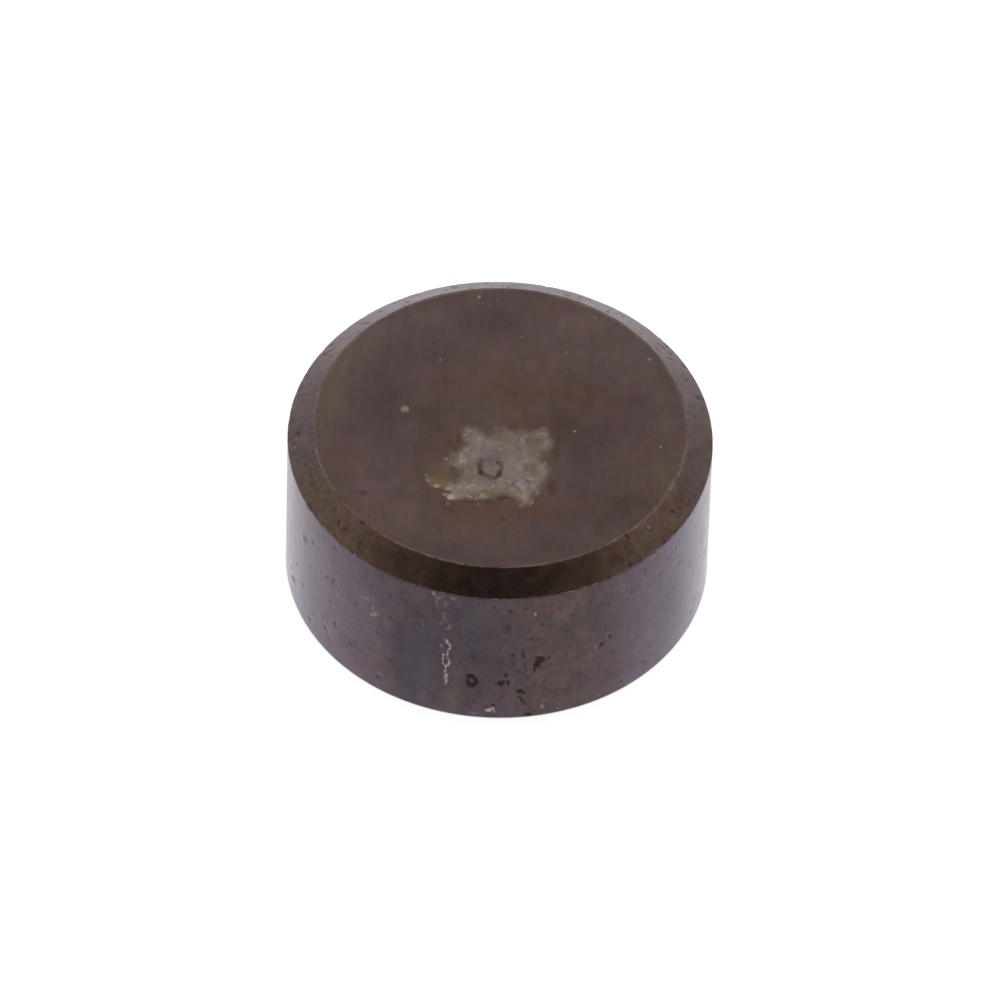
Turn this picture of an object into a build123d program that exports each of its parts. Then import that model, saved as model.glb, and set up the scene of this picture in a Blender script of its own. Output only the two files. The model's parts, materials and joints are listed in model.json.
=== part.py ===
from build123d import *

import os
from math import radians, tan

# Valve shim for an overhead-camshaft engine.
# A plain steel disc, turned from bar, chamfered at one rim, hardened and ground on both faces.
# It is one solid piece. The origin is the centre of the lower face, and +Z runs up the turning axis.

# Driving sizes of the disc, in millimetres and degrees
shim_diameter = 7.48
shim_thickness = 3.50
chamfer_width = 0.445
chamfer_angle = 36.0

# Small radii that tumbling leaves on the three rims
land_rim_radius = 0.045
chamfer_foot_radius = 0.015
lower_rim_radius = 0.020

# Square hardness-test imprint in the upper face, off the disc's centre
imprint_side = 0.44
imprint_depth = 0.050
imprint_wall_angle = 60.0
imprint_turn = -12.0
imprint_place = (-0.13, -0.99)

# Sizes worked out from the driving ones
shim_radius = shim_diameter / 2
chamfer_height = chamfer_width * tan(radians(chamfer_angle))
land_radius = shim_radius - chamfer_width
wall_top = shim_thickness - chamfer_height

# The half section, from the axis out to the wall, is revolved once round the axis.
with BuildPart() as valve_shim:
    with BuildSketch(Plane.XZ) as half_section:
        with BuildLine():
            Polyline(
                (0, 0),
                (shim_radius, 0),
                (shim_radius, wall_top),
                (land_radius, shim_thickness),
                (0, shim_thickness),
                close=True,
            )
        make_face()
        # The three rims are rounded in the section, each found from the side it lies on.
        lower_rim = half_section.vertices().group_by(Axis.Y)[0].sort_by(Axis.X)[-1]
        fillet(lower_rim, radius=lower_rim_radius)
        chamfer_foot = half_section.vertices().group_by(Axis.X)[-1].sort_by(Axis.Y)[-1]
        fillet(chamfer_foot, radius=chamfer_foot_radius)
        land_rim = half_section.vertices().group_by(Axis.Y)[-1].sort_by(Axis.X)[-1]
        fillet(land_rim, radius=land_rim_radius)
    revolve(axis=Axis.Z)

    # The imprint is a shallow square pocket whose walls lean in towards a flat floor.
    with BuildSketch(Plane.XY.offset(shim_thickness)) as imprint_mouth:
        with Locations(imprint_place):
            Rectangle(imprint_side, imprint_side, rotation=imprint_turn)
    extrude(amount=-imprint_depth, taper=imprint_wall_angle, mode=Mode.SUBTRACT)

valve_shim.part.label = "valve_shim"

os.makedirs("parts", exist_ok=True)
export_step(valve_shim.part, "parts/valve_shim.step")
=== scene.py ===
import json
from math import cos, pi, radians, sin, tan

import bpy
import numpy as np
from mathutils import Matrix


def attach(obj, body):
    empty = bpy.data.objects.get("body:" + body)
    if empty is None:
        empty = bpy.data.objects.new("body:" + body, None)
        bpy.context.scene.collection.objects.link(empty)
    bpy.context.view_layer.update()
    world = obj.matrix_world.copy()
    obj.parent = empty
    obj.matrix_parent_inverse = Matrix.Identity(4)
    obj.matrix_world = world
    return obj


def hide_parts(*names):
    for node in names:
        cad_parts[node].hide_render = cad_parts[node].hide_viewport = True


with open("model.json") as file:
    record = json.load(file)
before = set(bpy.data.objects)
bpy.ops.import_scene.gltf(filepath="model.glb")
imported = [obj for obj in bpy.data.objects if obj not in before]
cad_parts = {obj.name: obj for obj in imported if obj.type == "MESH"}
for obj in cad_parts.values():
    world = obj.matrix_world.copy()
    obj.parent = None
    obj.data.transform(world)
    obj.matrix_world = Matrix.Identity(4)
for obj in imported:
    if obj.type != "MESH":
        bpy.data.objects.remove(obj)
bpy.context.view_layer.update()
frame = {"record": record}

# Sizes of the disc, in metres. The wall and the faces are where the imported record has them.
MM = 0.001
interfaces = {mount["name"]: mount for mount in frame["record"]["mounts"]}
shim_radius = interfaces["outer_wall"]["dims"]["r_mm"] * MM
shim_thickness = interfaces["upper_face"]["pos_m"][2]
chamfer_width = 0.445 * MM
chamfer_angle = radians(36.0)
land_rim_radius = 0.045 * MM
chamfer_foot_radius = 0.015 * MM
lower_rim_radius = 0.020 * MM
chamfer_height = chamfer_width * tan(chamfer_angle)
chamfer_slope = chamfer_width / cos(chamfer_angle)
land_radius = shim_radius - chamfer_width
land_edge = land_radius - land_rim_radius * tan(chamfer_angle / 2)
wall_top = shim_thickness - chamfer_height

# The square imprint in the upper face
imprint_side = 0.44 * MM
imprint_depth = 0.050 * MM
imprint_wall_angle = radians(60.0)
imprint_turn = radians(-12.0)
imprint_place = (-0.13 * MM, -0.99 * MM)

# The mesh: cells across the upper face, cells from the middle to the edge of its dense square, columns round
# the disc, and rows down the chamfer and the wall
FACE_CELLS = 154
DENSE_CELLS = 54
DENSE_HALF = 1.28 * MM
DENSE_CENTRE = (-0.17 * MM, -0.90 * MM)
COLUMNS = 636
LOWER_COLUMNS = 128
SLOPE_ROWS = 13
WALL_ROWS = 86
RIM_MARGIN = 0.014 * MM

# How far the marks stand up or lie deep, in millimetres
BARE_DEPTH = 0.005
CREST_HEIGHT = 0.009
SHADOW_DEPTH = 0.008
PIT_DEPTH = 0.013
CHIP_DEPTH = 0.009
GROOVE_DEPTH = 0.004

# Numbers of small marks at random
RANDOM_PITS = 420
FRONT_SPECKS = 90
SLOPE_PITS_AT_RANDOM = 190
RIM_CHIPS = 170

# What the mesh carries at its points for the finishes, each from 0 to about 1
MASKS = ("bare", "cool", "bright", "slate", "pale", "olive", "brown", "rust", "grime_and_shade", "uneven")


# Shapes

def smooth_step(low, high, value):
    """0 below low, 1 above high, and the curve 3t^2 - 2t^3 between them."""
    t = unit((value - low) / (high - low))
    return t * t * (3.0 - 2.0 * t)


def fade(low, high, value):
    """1 below low and 0 above high: 1 less the smooth step."""
    return 1.0 - smooth_step(low, high, value)


def unit(value):
    """The value held between 0 and 1."""
    return np.clip(value, 0.0, 1.0)


def rough_field(points, cell, seed):
    """A smooth random field from -1 to 1. Random values stand on a cubic lattice of the given cell, and each
    point blends its eight neighbours with the curve 3t^2 - 2t^3 along every axis."""
    size = 48
    lattice = np.random.default_rng(seed).uniform(-1.0, 1.0, (size, size, size))
    place = points / cell
    corner = np.floor(place).astype(int)
    share = place - corner
    share = share * share * (3.0 - 2.0 * share)
    total = np.zeros(len(points))
    for step in np.ndindex(2, 2, 2):
        index = (corner + np.array(step)) % size
        weight = np.where(np.array(step) == 1, share, 1.0 - share).prod(axis=1)
        total += weight * lattice[index[:, 0], index[:, 1], index[:, 2]]
    return total


def rounded_corner(before, corner, after, radius, count):
    """Points of the arc that rounds a corner of the profile. It touches both sides, and its points are evenly
    spaced in angle."""
    into = (corner - before) / np.linalg.norm(corner - before)
    out = (after - corner) / np.linalg.norm(after - corner)
    turn = np.arccos(np.clip(into @ out, -1.0, 1.0))
    inward = out - into
    inward /= np.linalg.norm(inward)
    centre = corner + inward * (radius / cos(turn / 2))
    start = corner - into * radius * tan(turn / 2) - centre
    angle = np.linspace(0.0, turn, count)[:, None]
    return centre + np.cos(angle) * start + np.sin(angle) * into * radius


def rows_between(upper, lower, count):
    """Even points of a straight side, a little in from its ends, so that wear stays at the rims."""
    margin = (lower - upper) / np.linalg.norm(lower - upper) * RIM_MARGIN
    return np.linspace(upper + margin, lower - margin, count)


def barrel_profile():
    """The half section from the land down to the lower face, as (radius, height) points: an arc at each of
    the three rims, and even rows along the chamfer and the wall."""
    beyond = 0.3 * MM
    land = np.array([land_radius - beyond, shim_thickness])
    land_corner = np.array([land_radius, shim_thickness])
    foot_corner = np.array([shim_radius, wall_top])
    lower_corner = np.array([shim_radius, 0.0])
    floor = np.array([shim_radius - beyond, 0.0])
    upper_arc = rounded_corner(land, land_corner, foot_corner, land_rim_radius, 5)
    foot_arc = rounded_corner(land_corner, foot_corner, lower_corner, chamfer_foot_radius, 4)
    lower_arc = rounded_corner(foot_corner, lower_corner, floor, lower_rim_radius, 5)
    slope_rows = rows_between(upper_arc[-1], foot_arc[0], SLOPE_ROWS)
    wall_rows = rows_between(foot_arc[-1], lower_arc[0], WALL_ROWS)
    return np.concatenate([upper_arc, slope_rows, foot_arc, wall_rows, lower_arc])


def barrel_azimuths(count):
    """Azimuths round the disc, closest together at the front, where the scratch and the large pits are. The
    density is summed round the circle, and the columns share the sum evenly."""
    angle = np.linspace(-pi, pi, 3601)
    density = np.where(angle < 0.0, 1.2, 0.75)
    density = np.where((angle > radians(-125.0)) & (angle < radians(-55.0)), 2.2, density)
    total = np.concatenate([[0.0], np.cumsum((density[1:] + density[:-1]) / 2)])
    return np.interp(np.arange(count) / count * total[-1], total, angle)


def face_grid(cells, dense_cells, dense_half, centre):
    """The upper face as a square grid that turns into a circle at its edge. The inner rings are even squares
    round the bare patch. The outer ones blend from the last square to the rim, evenly spaced in angle."""
    half = cells // 2
    a, b = np.meshgrid(np.arange(-half, half + 1), np.arange(-half, half + 1), indexing="ij")
    ring = np.maximum(np.abs(a), np.abs(b))
    square = np.stack([a, b], axis=-1) / np.maximum(ring, 1)[..., None]
    wide = np.abs(a) >= np.abs(b)
    turn = np.where(
        wide,
        pi / 4 * b / np.where(wide, np.where(a == 0, 1, a), 1) + np.where(a < 0, pi, 0.0),
        pi / 2 - pi / 4 * a / np.where(wide, 1, b) + np.where(b < 0, pi, 0.0),
    )
    circle = np.stack([np.cos(turn), np.sin(turn)], axis=-1)
    side = dense_half * np.minimum(ring, dense_cells) / dense_cells
    inner = np.array(centre) + square * side[..., None]
    reach = unit((ring - dense_cells) / (half - dense_cells))[..., None]
    reach = 1.0 - (1.0 - reach) * (1.0 - 0.55 * reach)
    return inner * (1.0 - reach) + circle * (land_edge - RIM_MARGIN) * reach


def carried_round(radius, height, azimuth):
    """A column of radii and one of heights carried round the axis, as points row by row."""
    ring = [radius * np.cos(azimuth), radius * np.sin(azimuth), height + 0 * azimuth]
    return np.stack(ring, axis=-1).reshape(-1, 3)


def grid_faces(rows, columns, start, closed):
    """Corner numbers of the quads of a grid whose points are numbered row by row from start. A closed grid
    joins its last column to its first."""
    across = columns if closed else columns - 1
    row, column = np.meshgrid(np.arange(rows - 1), np.arange(across), indexing="ij")
    beside = (column + 1) % columns
    here = start + row * columns
    below = here + columns
    return np.stack([here + column, below + column, below + beside, here + beside], axis=-1).reshape(-1, 4)


def ring_strip(upper, upper_angle, lower, lower_angle):
    """Triangles between two closed rings with different numbers of points. Going round by azimuth, every edge
    of a ring gets a triangle to the point of the other ring that was passed last."""
    upper_end = np.append(upper_angle[1:], upper_angle[0] + 2 * pi)
    lower_end = np.append(lower_angle[1:], lower_angle[0] + 2 * pi)
    passed_lower = np.searchsorted(lower_end, upper_end, side="left") % len(lower)
    passed_upper = np.searchsorted(upper_end, lower_end, side="right") % len(upper)
    from_upper = np.stack([upper, lower[passed_lower], np.roll(upper, -1)], axis=-1)
    from_lower = np.stack([upper[passed_upper], lower, np.roll(lower, -1)], axis=-1)
    return np.concatenate([from_upper, from_lower])


def put_object(name, data):
    piece = bpy.data.objects.new(name, data)
    bpy.context.scene.collection.objects.link(piece)
    return piece


def put_mesh(name, points, quads, triangles):
    """Puts whole arrays of points, quads and triangles into a new mesh object at the origin."""
    mesh = bpy.data.meshes.new(name)
    mesh.vertices.add(len(points))
    mesh.vertices.foreach_set("co", points.astype(np.float32).ravel())
    corners = np.concatenate([quads.ravel(), triangles.ravel()])
    sizes = np.concatenate([np.full(len(quads), 4), np.full(len(triangles), 3)])
    mesh.loops.add(len(corners))
    mesh.loops.foreach_set("vertex_index", corners.astype(np.int32))
    mesh.polygons.add(len(sizes))
    mesh.polygons.foreach_set("loop_start", np.concatenate([[0], np.cumsum(sizes)[:-1]]).astype(np.int32))
    mesh.update(calc_edges=True)
    mesh.shade_smooth()
    return put_object(name, mesh)


# Distances and spots, for the marks of wear

def hundredths(*rows):
    """Marks as written, in hundredths of a millimetre and of full strength, turned into millimetres and
    shares. A sixth value is a turn in degrees, and stays."""
    return [(*(value / 100.0 for value in row[:5]), *row[5:]) for row in rows]


def line_distance(places, line):
    """Distance from each place to a line of straight runs: the least of its distances to the runs."""
    line = np.array(line)
    nearest = np.full(len(places), np.inf)
    for start, end in zip(line[:-1], line[1:]):
        run = end - start
        share = unit((places - start) @ run / (run @ run))
        nearest = np.minimum(nearest, np.linalg.norm(places - start - share[:, None] * run, axis=1))
    return nearest


def outline_distance(places, outline):
    """Distance to a closed outline, negative inside it. A place is inside if a ray to its right crosses the
    outline an odd number of times."""
    closed = [*outline, outline[0]]
    odd = np.zeros(len(places), bool)
    for (ax, ay), (bx, by) in zip(closed[:-1], closed[1:]):
        crosses = (ay > places[:, 1]) != (by > places[:, 1])
        rise = by - ay if by != ay else 1.0
        odd ^= crosses & (places[:, 0] < ax + (places[:, 1] - ay) / rise * (bx - ax))
    return line_distance(places, closed) * np.where(odd, -1.0, 1.0)


def stain(places, spots):
    """Soft stains added up. Each is its strength times the bell curve exp(-(x/a)^2 - (y/b)^2)."""
    total = np.zeros(len(places))
    for x, y, reach_x, reach_y, strength in spots:
        across = (places - (x, y)) / (reach_x, reach_y)
        total += strength * np.exp(-(across**2).sum(axis=1))
    return unit(total)


def spots_mask(places, uneven, spots):
    """The strongest of many small ragged spots. A spot is an ellipse: the place less its centre is turned
    back and divided by the two half sizes, and the length of that is moved by the uneven field. The spot is
    full well inside 1 and gone beyond it."""
    total = np.zeros(len(places))
    for x, y, half_x, half_y, strength, *turn in spots:
        gap = places - (x, y)
        near = np.flatnonzero((np.abs(gap) < 1.7 * max(half_x, half_y)).all(axis=1))
        angle = radians(turn[0]) if turn else 0.0
        across = (gap[near, 0] * cos(angle) + gap[near, 1] * sin(angle)) / half_x
        along = (gap[near, 1] * cos(angle) - gap[near, 0] * sin(angle)) / half_y
        away = np.hypot(across, along) + uneven[near]
        total[near] = np.maximum(total[near], strength * fade(0.50, 1.15, away))
    return total


# Marks on the upper face, in hundredths of a millimetre from the disc's axis, +X right and +Y back. A mark is
# a centre, two half sizes, a strength, and a turn in degrees where it is turned. A face speck has one half
# size. An outline, a ring or a groove is a line of points.

PATCH_OUTLINE = hundredths(
    (-66, -3), (-55, 3), (-41, -1), (-35, -11), (-23, -20), (-15, -12), (5, 4), (25, 2), (38, -4), (56, -1),
    (76, 4), (88, -13), (99, -35), (85, -51), (73, -65), (86, -86), (92, -96), (86, -118), (77, -135),
    (71, -151), (58, -186), (40, -187), (29, -171), (17, -164), (1, -167), (-19, -176), (-35, -174),
    (-59, -172), (-83, -181), (-93, -171), (-92, -155), (-112, -148), (-126, -132), (-128, -119),
    (-113, -116), (-98, -83), (-94, -69), (-90, -53), (-74, -60), (-62, -43), (-69, -22),
)
PATCH_LOBE = hundredths(
    (-100, -118, 24, 19, 110),
)
PATCH_VEILS = hundredths(
    (-92, -56, 12, 28, 85), (-6, 2, 15, 10, 25), (-52, -30, 8, 16, 30), (15, -170, 28, 8, 55),
    (56, -42, 12, 24, 20), (-72, -116, 13, 22, 80), (-8, -152, 12, 7, 35),
)
PATCH_CORE = hundredths(
    (-38, -62, 20, 24, 100), (22, -88, 22, 30, 100), (-16, -100, 16, 16, 60), (-20, -126, 26, 10, 35),
)
# The crest's bright spots and the pale stains after them: partly scraped metal, partly painted highlights on
# the crest's slopes
CREST_SPOTS = hundredths(
    (-127, -121, 3.2, 5, 22, 12), (-124, -132, 4, 4.5, 24, -30), (-117, -140, 3.6, 2.6, 10, -30),
    (-109, -144, 4.8, 4, 60), (-99, -144, 5.5, 2.6, 10, 10), (-87, -149, 5.5, 3.8, 66),
    (-81, -143, 4, 3, 24, 20), (-93, -164, 5, 3.6, 30, -20), (-83, -169, 8, 6.6, 80, 20),
    (-87, -185, 3.5, 6, 18), (-74, -166, 4.5, 2.6, 22), (-64, -164, 4, 2, 30, 6), (-55, -163, 3.6, 2, 34),
    (-49, -166, 4, 2.4, 32, -20), (-39, -171, 4, 3.4, 52, -25), (-33, -184, 7, 2.4, 10, -5),
    (-10, -141, 3.6, 4.5, 34), (-68, -144, 3.6, 6, 22, 10), (1, -52, 2.2, 3.4, 36),
    (-93, -80, 4.5, 3.5, 22), (-86, -87, 5, 3, 14), (-59, -60, 2.2, 3, 20), (39, -30, 2.8, 11, 26, 5),
    (44, -20, 5, 2.2, 18, 20), (76, -14, 8, 2.2, 30), (80, -36, 2.2, 8.5, 16, -10),
    (67, -62, 2, 8.5, 26, -35), (68, -153, 5, 5.5, 20, 15), (39, -184, 5, 6, 16),
    (59, -175, 3.4, 9, 18, -15), (-61, -22, 4.5, 4.5, 22), (-37, -31, 5.5, 4.5, 30), (-57, 0, 6, 3, 14),
    (57, -110, 2.2, 2.2, 20), (42, -56, 2, 5, 14), (20, -78, 2, 5, 12, 10), (79, -84, 2.6, 6, 22),
    (48, -80, 3, 5, 16),
)
CREST_PALE = hundredths(
    (-60, -143, 24, 12, 24), (-85, -160, 16, 14, 4), (-68, -80, 10, 24, 24), (42, -166, 14, 24, 18),
    (18, -144, 22, 10, 12), (-30, -167, 12, 7, 24), (-55, -14, 14, 14, 12), (40, -32, 6, 20, 18),
    (72, -14, 14, 7, 14), (80, -100, 9, 30, 18), (-120, -134, 10, 10, 8), (-28, -15, 12, 9, 20),
    (30, -134, 14, 16, 16), (72, -146, 10, 24, 16), (-30, -150, 10, 10, 10), (-55, -60, 16, 16, 14),
    (30, -90, 22, 30, 10), (-20, -40, 20, 12, 10), (60, -125, 14, 24, 12),
)
PATCH_SHADOWS = hundredths(
    (-57, -179, 22, 3, 42, -3), (-105, -153, 12, 3.4, 50, -12), (-88, -157, 7, 3.2, 56),
    (-97, -147, 3.6, 3.6, 30), (11, -168, 15, 6.5, 55, 5), (-20, -179, 14, 4, 36, -8),
    (-83, -101, 8, 7, 42), (-70, -34, 6, 14, 26), (49, -127, 4.5, 3.6, 40), (53, -145, 6.5, 2.6, 36),
    (37, -56, 3, 6, 26), (-35, -125, 5, 3, 30), (10, -216, 8.5, 5.5, 30, 10), (-84, -199, 6, 5.5, 36),
    (-132, -213, 6, 3, 28), (-237, -166, 9, 7, 50, 15), (-120, -168, 6, 3, 20), (-93, -42, 6, 8, 20),
    (24, -176, 6, 3, 35, 20), (40, -15, 4, 6, 24), (47, -36, 3, 5, 24), (-55, -80, 3, 8, 12),
    (66, -90, 3.5, 5, 16), (-3, -84, 3.6, 3, 30), (-33, -106, 3.4, 3.4, 30), (46, -102, 3.6, 8, 16, 10),
    (40, -120, 5, 4, 14), (94, -138, 9, 25, 44, -8), (97, -62, 8, 20, 16, 10),
)
# Painted shade on the walls of the square imprint: a dark line round three sides, a faint one on the fourth,
# and darker corners
RING_DARK = hundredths(
    (-33, -83), (-34, -98), (-32, -110), (-20, -116), (-8, -121), (-1, -113), (5, -94), (-1, -84),
)
RING_FAINT = hundredths(
    (-33, -83), (-24, -77), (-12, -77), (-1, -84),
)
RING_CORNERS = hundredths(
    (-31, -108, 10, 10, 25), (0, -108, 10, 18, 30),
)
FACE_SPECKS = hundredths(
    (-169, 34, 8.5, 36), (-45, 306, 3.2, 50), (259, 170, 3, 40), (131, -6, 3.2, 45), (282, -36, 2.8, 35),
    (-110, 153, 3, 25), (112, 180, 2.8, 20), (33, 214, 2.4, 20), (162, 266, 2.6, 30),
)
FACE_SLATE = hundredths(
    (-205, 60, 45, 95, 85), (-175, -45, 40, 40, 75), (-160, 170, 50, 45, 50), (-20, 250, 65, 35, 55),
    (245, 35, 30, 60, 55), (135, -110, 35, 70, 70), (170, -205, 80, 45, 50), (160, -20, 45, 40, 55),
    (180, 60, 35, 30, 30), (10, -305, 90, 15, 40), (55, -245, 30, 30, 30), (2, -50, 22, 16, 95),
    (-54, -8, 16, 14, 60), (76, -105, 12, 30, 95), (-10, -142, 34, 12, 70), (45, -150, 14, 26, 30),
    (-70, -75, 10, 24, 70), (-62, -145, 18, 12, 60),
)
FACE_PALE = hundredths(
    (-290, 125, 40, 80, 80), (-220, 225, 50, 45, 80), (-300, 20, 30, 70, 60), (140, 260, 60, 30, 75),
    (110, 185, 75, 45, 60), (235, 165, 45, 65, 75), (-235, -140, 60, 70, 55), (-60, -260, 70, 40, 45),
    (-130, 262, 60, 40, 65), (290, -20, 25, 80, 45), (60, 285, 60, 25, 45), (210, -190, 50, 60, 20),
    (-160, -230, 60, 40, 35), (10, 40, 80, 25, 15),
)
FACE_OLIVE = hundredths(
    (-305, 60, 24, 90, 65), (285, -115, 28, 40, 80), (225, -60, 30, 25, 35), (-260, 180, 28, 40, 50),
    (-20, -230, 50, 20, 30), (-122, -102, 22, 34, 55), (75, 155, 40, 30, 35), (-170, -10, 16, 25, 30),
    (93, -95, 10, 36, 60), (-27, -157, 16, 13, 95), (12, -168, 30, 9, 55), (-74, -72, 14, 30, 45),
    (-102, -138, 22, 22, 60),
)
FACE_BROWN = hundredths(
    (115, 5, 55, 50, 85), (220, -185, 65, 60, 75), (-110, 10, 35, 60, 65), (110, 90, 60, 35, 50),
    (-120, -275, 80, 30, 45), (90, -285, 70, 25, 35), (240, 150, 40, 40, 35), (110, 280, 60, 20, 35),
    (285, -30, 25, 45, 35), (-90, 80, 30, 30, 35), (62, -28, 22, 18, 95), (14, -16, 24, 14, 90),
    (-46, -105, 12, 22, 60), (-82, -52, 14, 24, 60), (-128, -60, 26, 34, 50), (98, -60, 10, 30, 50),
    (-70, -120, 12, 22, 80), (66, -158, 12, 20, 60),
)
FACE_RUST = hundredths(
    (135, 75, 75, 30, 35), (10, 85, 55, 55, 45), (-95, 95, 40, 50, 25), (195, 40, 40, 35, 25),
    (-55, -225, 80, 28, 35), (25, 12, 30, 10, 30), (240, -30, 25, 35, 20), (5, -212, 40, 14, 45),
    (-88, -197, 14, 12, 55), (-25, -188, 60, 9, 95), (-72, -40, 10, 22, 75), (-110, -155, 22, 7, 60),
    (60, -195, 30, 14, 60), (-280, -130, 25, 50, 50), (130, -190, 50, 30, 35), (-80, -136, 10, 10, 45),
    (74, -162, 10, 16, 45), (36, -20, 12, 22, 40), (-260, -200, 40, 30, 35),
)

# Marks on the wall, in hundredths of a millimetre round it from its front, to the right, and up from its foot

WALL_PITS = hundredths(
    (-36, 108, 10.5, 8.5, 100), (-42.5, 95, 5.8, 13, 95), (-29.8, 97.5, 6.2, 15, 100),
    (-37, 85, 8, 8.5, 95), (-37.5, 78, 3.4, 4, 60), (-44, 114, 3, 3.6, 45), (13, 95.5, 8.8, 8.2, 100, 10),
    (18.2, 98, 4.6, 6.4, 95), (27.2, 97, 3.4, 8, 100), (23, 115, 4.4, 6.6, 95, 10),
    (23.2, 121.5, 2.6, 4.5, 75), (83, 150, 9.2, 9.2, 100), (76.5, 138.5, 6.6, 9.2, 100, -15),
    (72.5, 127, 3.6, 7, 90), (76.8, 157.5, 3.6, 6, 80), (50.5, 72, 9.8, 8.6, 100),
    (56.5, 66, 7, 4.5, 100, 20), (47.5, 56, 6, 4.6, 80), (53, 48, 5.2, 10, 70, 14),
    (57, 37, 3.6, 8, 48, 14), (92, 150, 8, 3, 55, 12), (97.8, 153, 3.4, 4.4, 80), (64, 7.5, 7, 5, 100),
    (3, 34, 4, 4, 90), (-8, 29, 8, 3.6, 75, 10), (-37.5, 165, 3.6, 15, 42), (116, 5, 2.4, 3, 60),
    (130, 59, 12, 1.8, 40, -14), (60, 108, 2.2, 9, 40, 20), (44, 80, 2, 6, 40), (27.8, 287, 4.5, 4.5, 62),
    (30.5, 272, 3.8, 3.5, 55), (29, 279, 1.8, 11, 40), (24.8, 244.5, 3.4, 7, 55, -8), (12, 184, 3.4, 8, 35),
    (18, 213, 3, 7, 45, 10), (33.6, 171, 4.6, 4.4, 90), (52, 168, 4.5, 17, 60, 6), (35, 147, 3, 20, 34),
    (42, 126, 8.5, 3.6, 48, 8), (56, 143, 3, 18, 34), (54.5, 118, 8, 3.4, 34, -40),
    (55.5, 291, 7, 2.6, 50, 50), (62, 302, 1.8, 13, 35), (81.6, 244.5, 5, 4.2, 62),
    (66.6, 209.4, 5, 4.8, 60), (79, 205.5, 10, 2.6, 40, -8), (137.4, 255, 3.8, 5.5, 42),
    (131, 216, 3.6, 6, 48), (196, 150, 5.2, 6.6, 80, -20), (213.4, 160, 3, 7.5, 90, 18),
    (203, 191, 2.6, 8.5, 62, 16), (108.5, 111, 10, 4.5, 42, 12), (88.5, 89, 5, 5, 34, -20),
    (66, 90, 4.5, 3, 26), (156.6, 96, 1.6, 22, 38, -4), (193, 86, 1.8, 20, 36, -6), (190, 120, 2.6, 5, 30),
    (15, 52.5, 2.6, 4, 28), (-189, 208, 7, 4.5, 60, -35), (-190, 268, 3.4, 5.5, 42),
    (-133, 219, 3.4, 10, 50, 10), (-127, 244, 7, 4, 45), (-321, 204, 4.5, 19, 46, -22),
    (-417, 222, 9, 16.8, 57, -30), (-387, 246, 7.3, 9, 49, -30), (-318, 294, 6.7, 10.1, 41, -30),
    (-369, 285, 5.6, 9, 35, -25), (-474, 54, 6.7, 19, 68, -55), (-381, 57, 4.7, 9, 49, -20),
    (-342, 60, 5.6, 6.7, 57, -20), (-315, 96, 3.6, 12.3, 61, -25), (-348, 86, 4.5, 11.2, 35, -25),
    (-423, 93, 5.6, 12.3, 46, -30), (-213, 33, 7.8, 5.6, 54), (-396, 33, 6.7, 7.8, 49, -20),
    (-327, 144, 5.2, 7.4, 46, -15), (-216, 150, 6.7, 5.6, 35, -20), (-264, 195, 5.6, 6.7, 32, -20),
    (-231, 98, 3.1, 7.8, 41, -10), (-282, 64, 3.1, 7.8, 38, -20), (-250, 78, 2.7, 7.8, 38, -45),
    (-190, 93, 9, 6, 30, -20), (-138, 170, 6, 4, 28, 15), (-152, 40, 7, 2.4, 28, 25),
    (-296, 207, 4.5, 6.7, 30, -20), (423, 186, 6, 6, 34, 20), (356, 208, 4, 8, 26, 25),
    (257, 253, 4, 8, 45, 10), (246, 227, 2.8, 5, 42, 20), (286, 288, 3.6, 9, 40, 20),
    (323, 245, 3.4, 9, 28, 30), (345, 270, 3.4, 11, 26, 20), (450, 60, 4.2, 11, 36, 25),
    (174, 276, 4.5, 5, 24), (205, 284, 2.6, 5, 30), (308, 70, 5, 11, 28, 40), (236, 130, 3, 7, 24, 20),
    (270, 176, 3, 6, 22, 15), (212, 74, 5, 6, 28), (148, 135, 5, 8, 22, -30), (163, 168, 3, 9, 20),
    (145, 248, 3.4, 11, 28, 10), (106, 64, 11, 2, 28, -12), (-117, 190, 4, 9, 16), (-73.5, 156, 2, 6, 50),
    (-80, 181.5, 2.2, 3.4, 45), (-85, 138, 1.8, 6, 35), (-76, 143, 1.4, 4, 40), (-70, 133, 2, 5, 22),
)
WALL_SPECKS = hundredths(
    (-5, 20.5, 6, 5, 62), (-7, 18.5, 5, 3.4, 40), (2.8, 26.8, 2.6, 3.6, 56), (4.2, 17, 2.6, 3, 46),
    (-0.5, 24.5, 3.4, 2.4, 36, 30), (-33, 11, 10, 3, 10), (71.4, 273, 1.8, 5.5, 46),
    (88.4, 22.5, 4.5, 4.5, 24), (-224, 193, 3.4, 15, 24, -40), (-226, 208, 2.2, 8, 18, 5),
    (-218, 196, 8, 2.6, 16, 40), (-242, 223, 3, 11, 14, -60), (-92, 176, 3.4, 5, 16), (-87, 288, 5, 10, 9),
    (-89.5, 256, 3.4, 12, 11, 8), (-85, 264, 5, 3, 9, 30), (-86, 245, 4, 3.4, 9),
    (-79, 231, 4.5, 9, 15, -15), (-93, 235, 4, 7, 8, 15), (-85, 224, 5, 3.4, 9), (-109, 310, 3, 5, 28),
    (-99, 302, 7, 2.6, 16, 20), (-91, 308, 4, 3, 16), (-74, 308, 5, 4, 13), (188, 142, 2.2, 11, 12, 8),
    (117, 11, 2.4, 2.4, 18), (198, 11, 2.4, 2.4, 18), (-208, 44, 6, 4, 10, 20), (306, 306, 3.6, 6, 10),
    (208, 286, 2, 6, 12, -10),
)
SCRATCH_GROOVE = hundredths(
    (-86, 198), (-76, 178), (-83, 150), (-84, 124), (-85, 102), (-82, 78),
)
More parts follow.
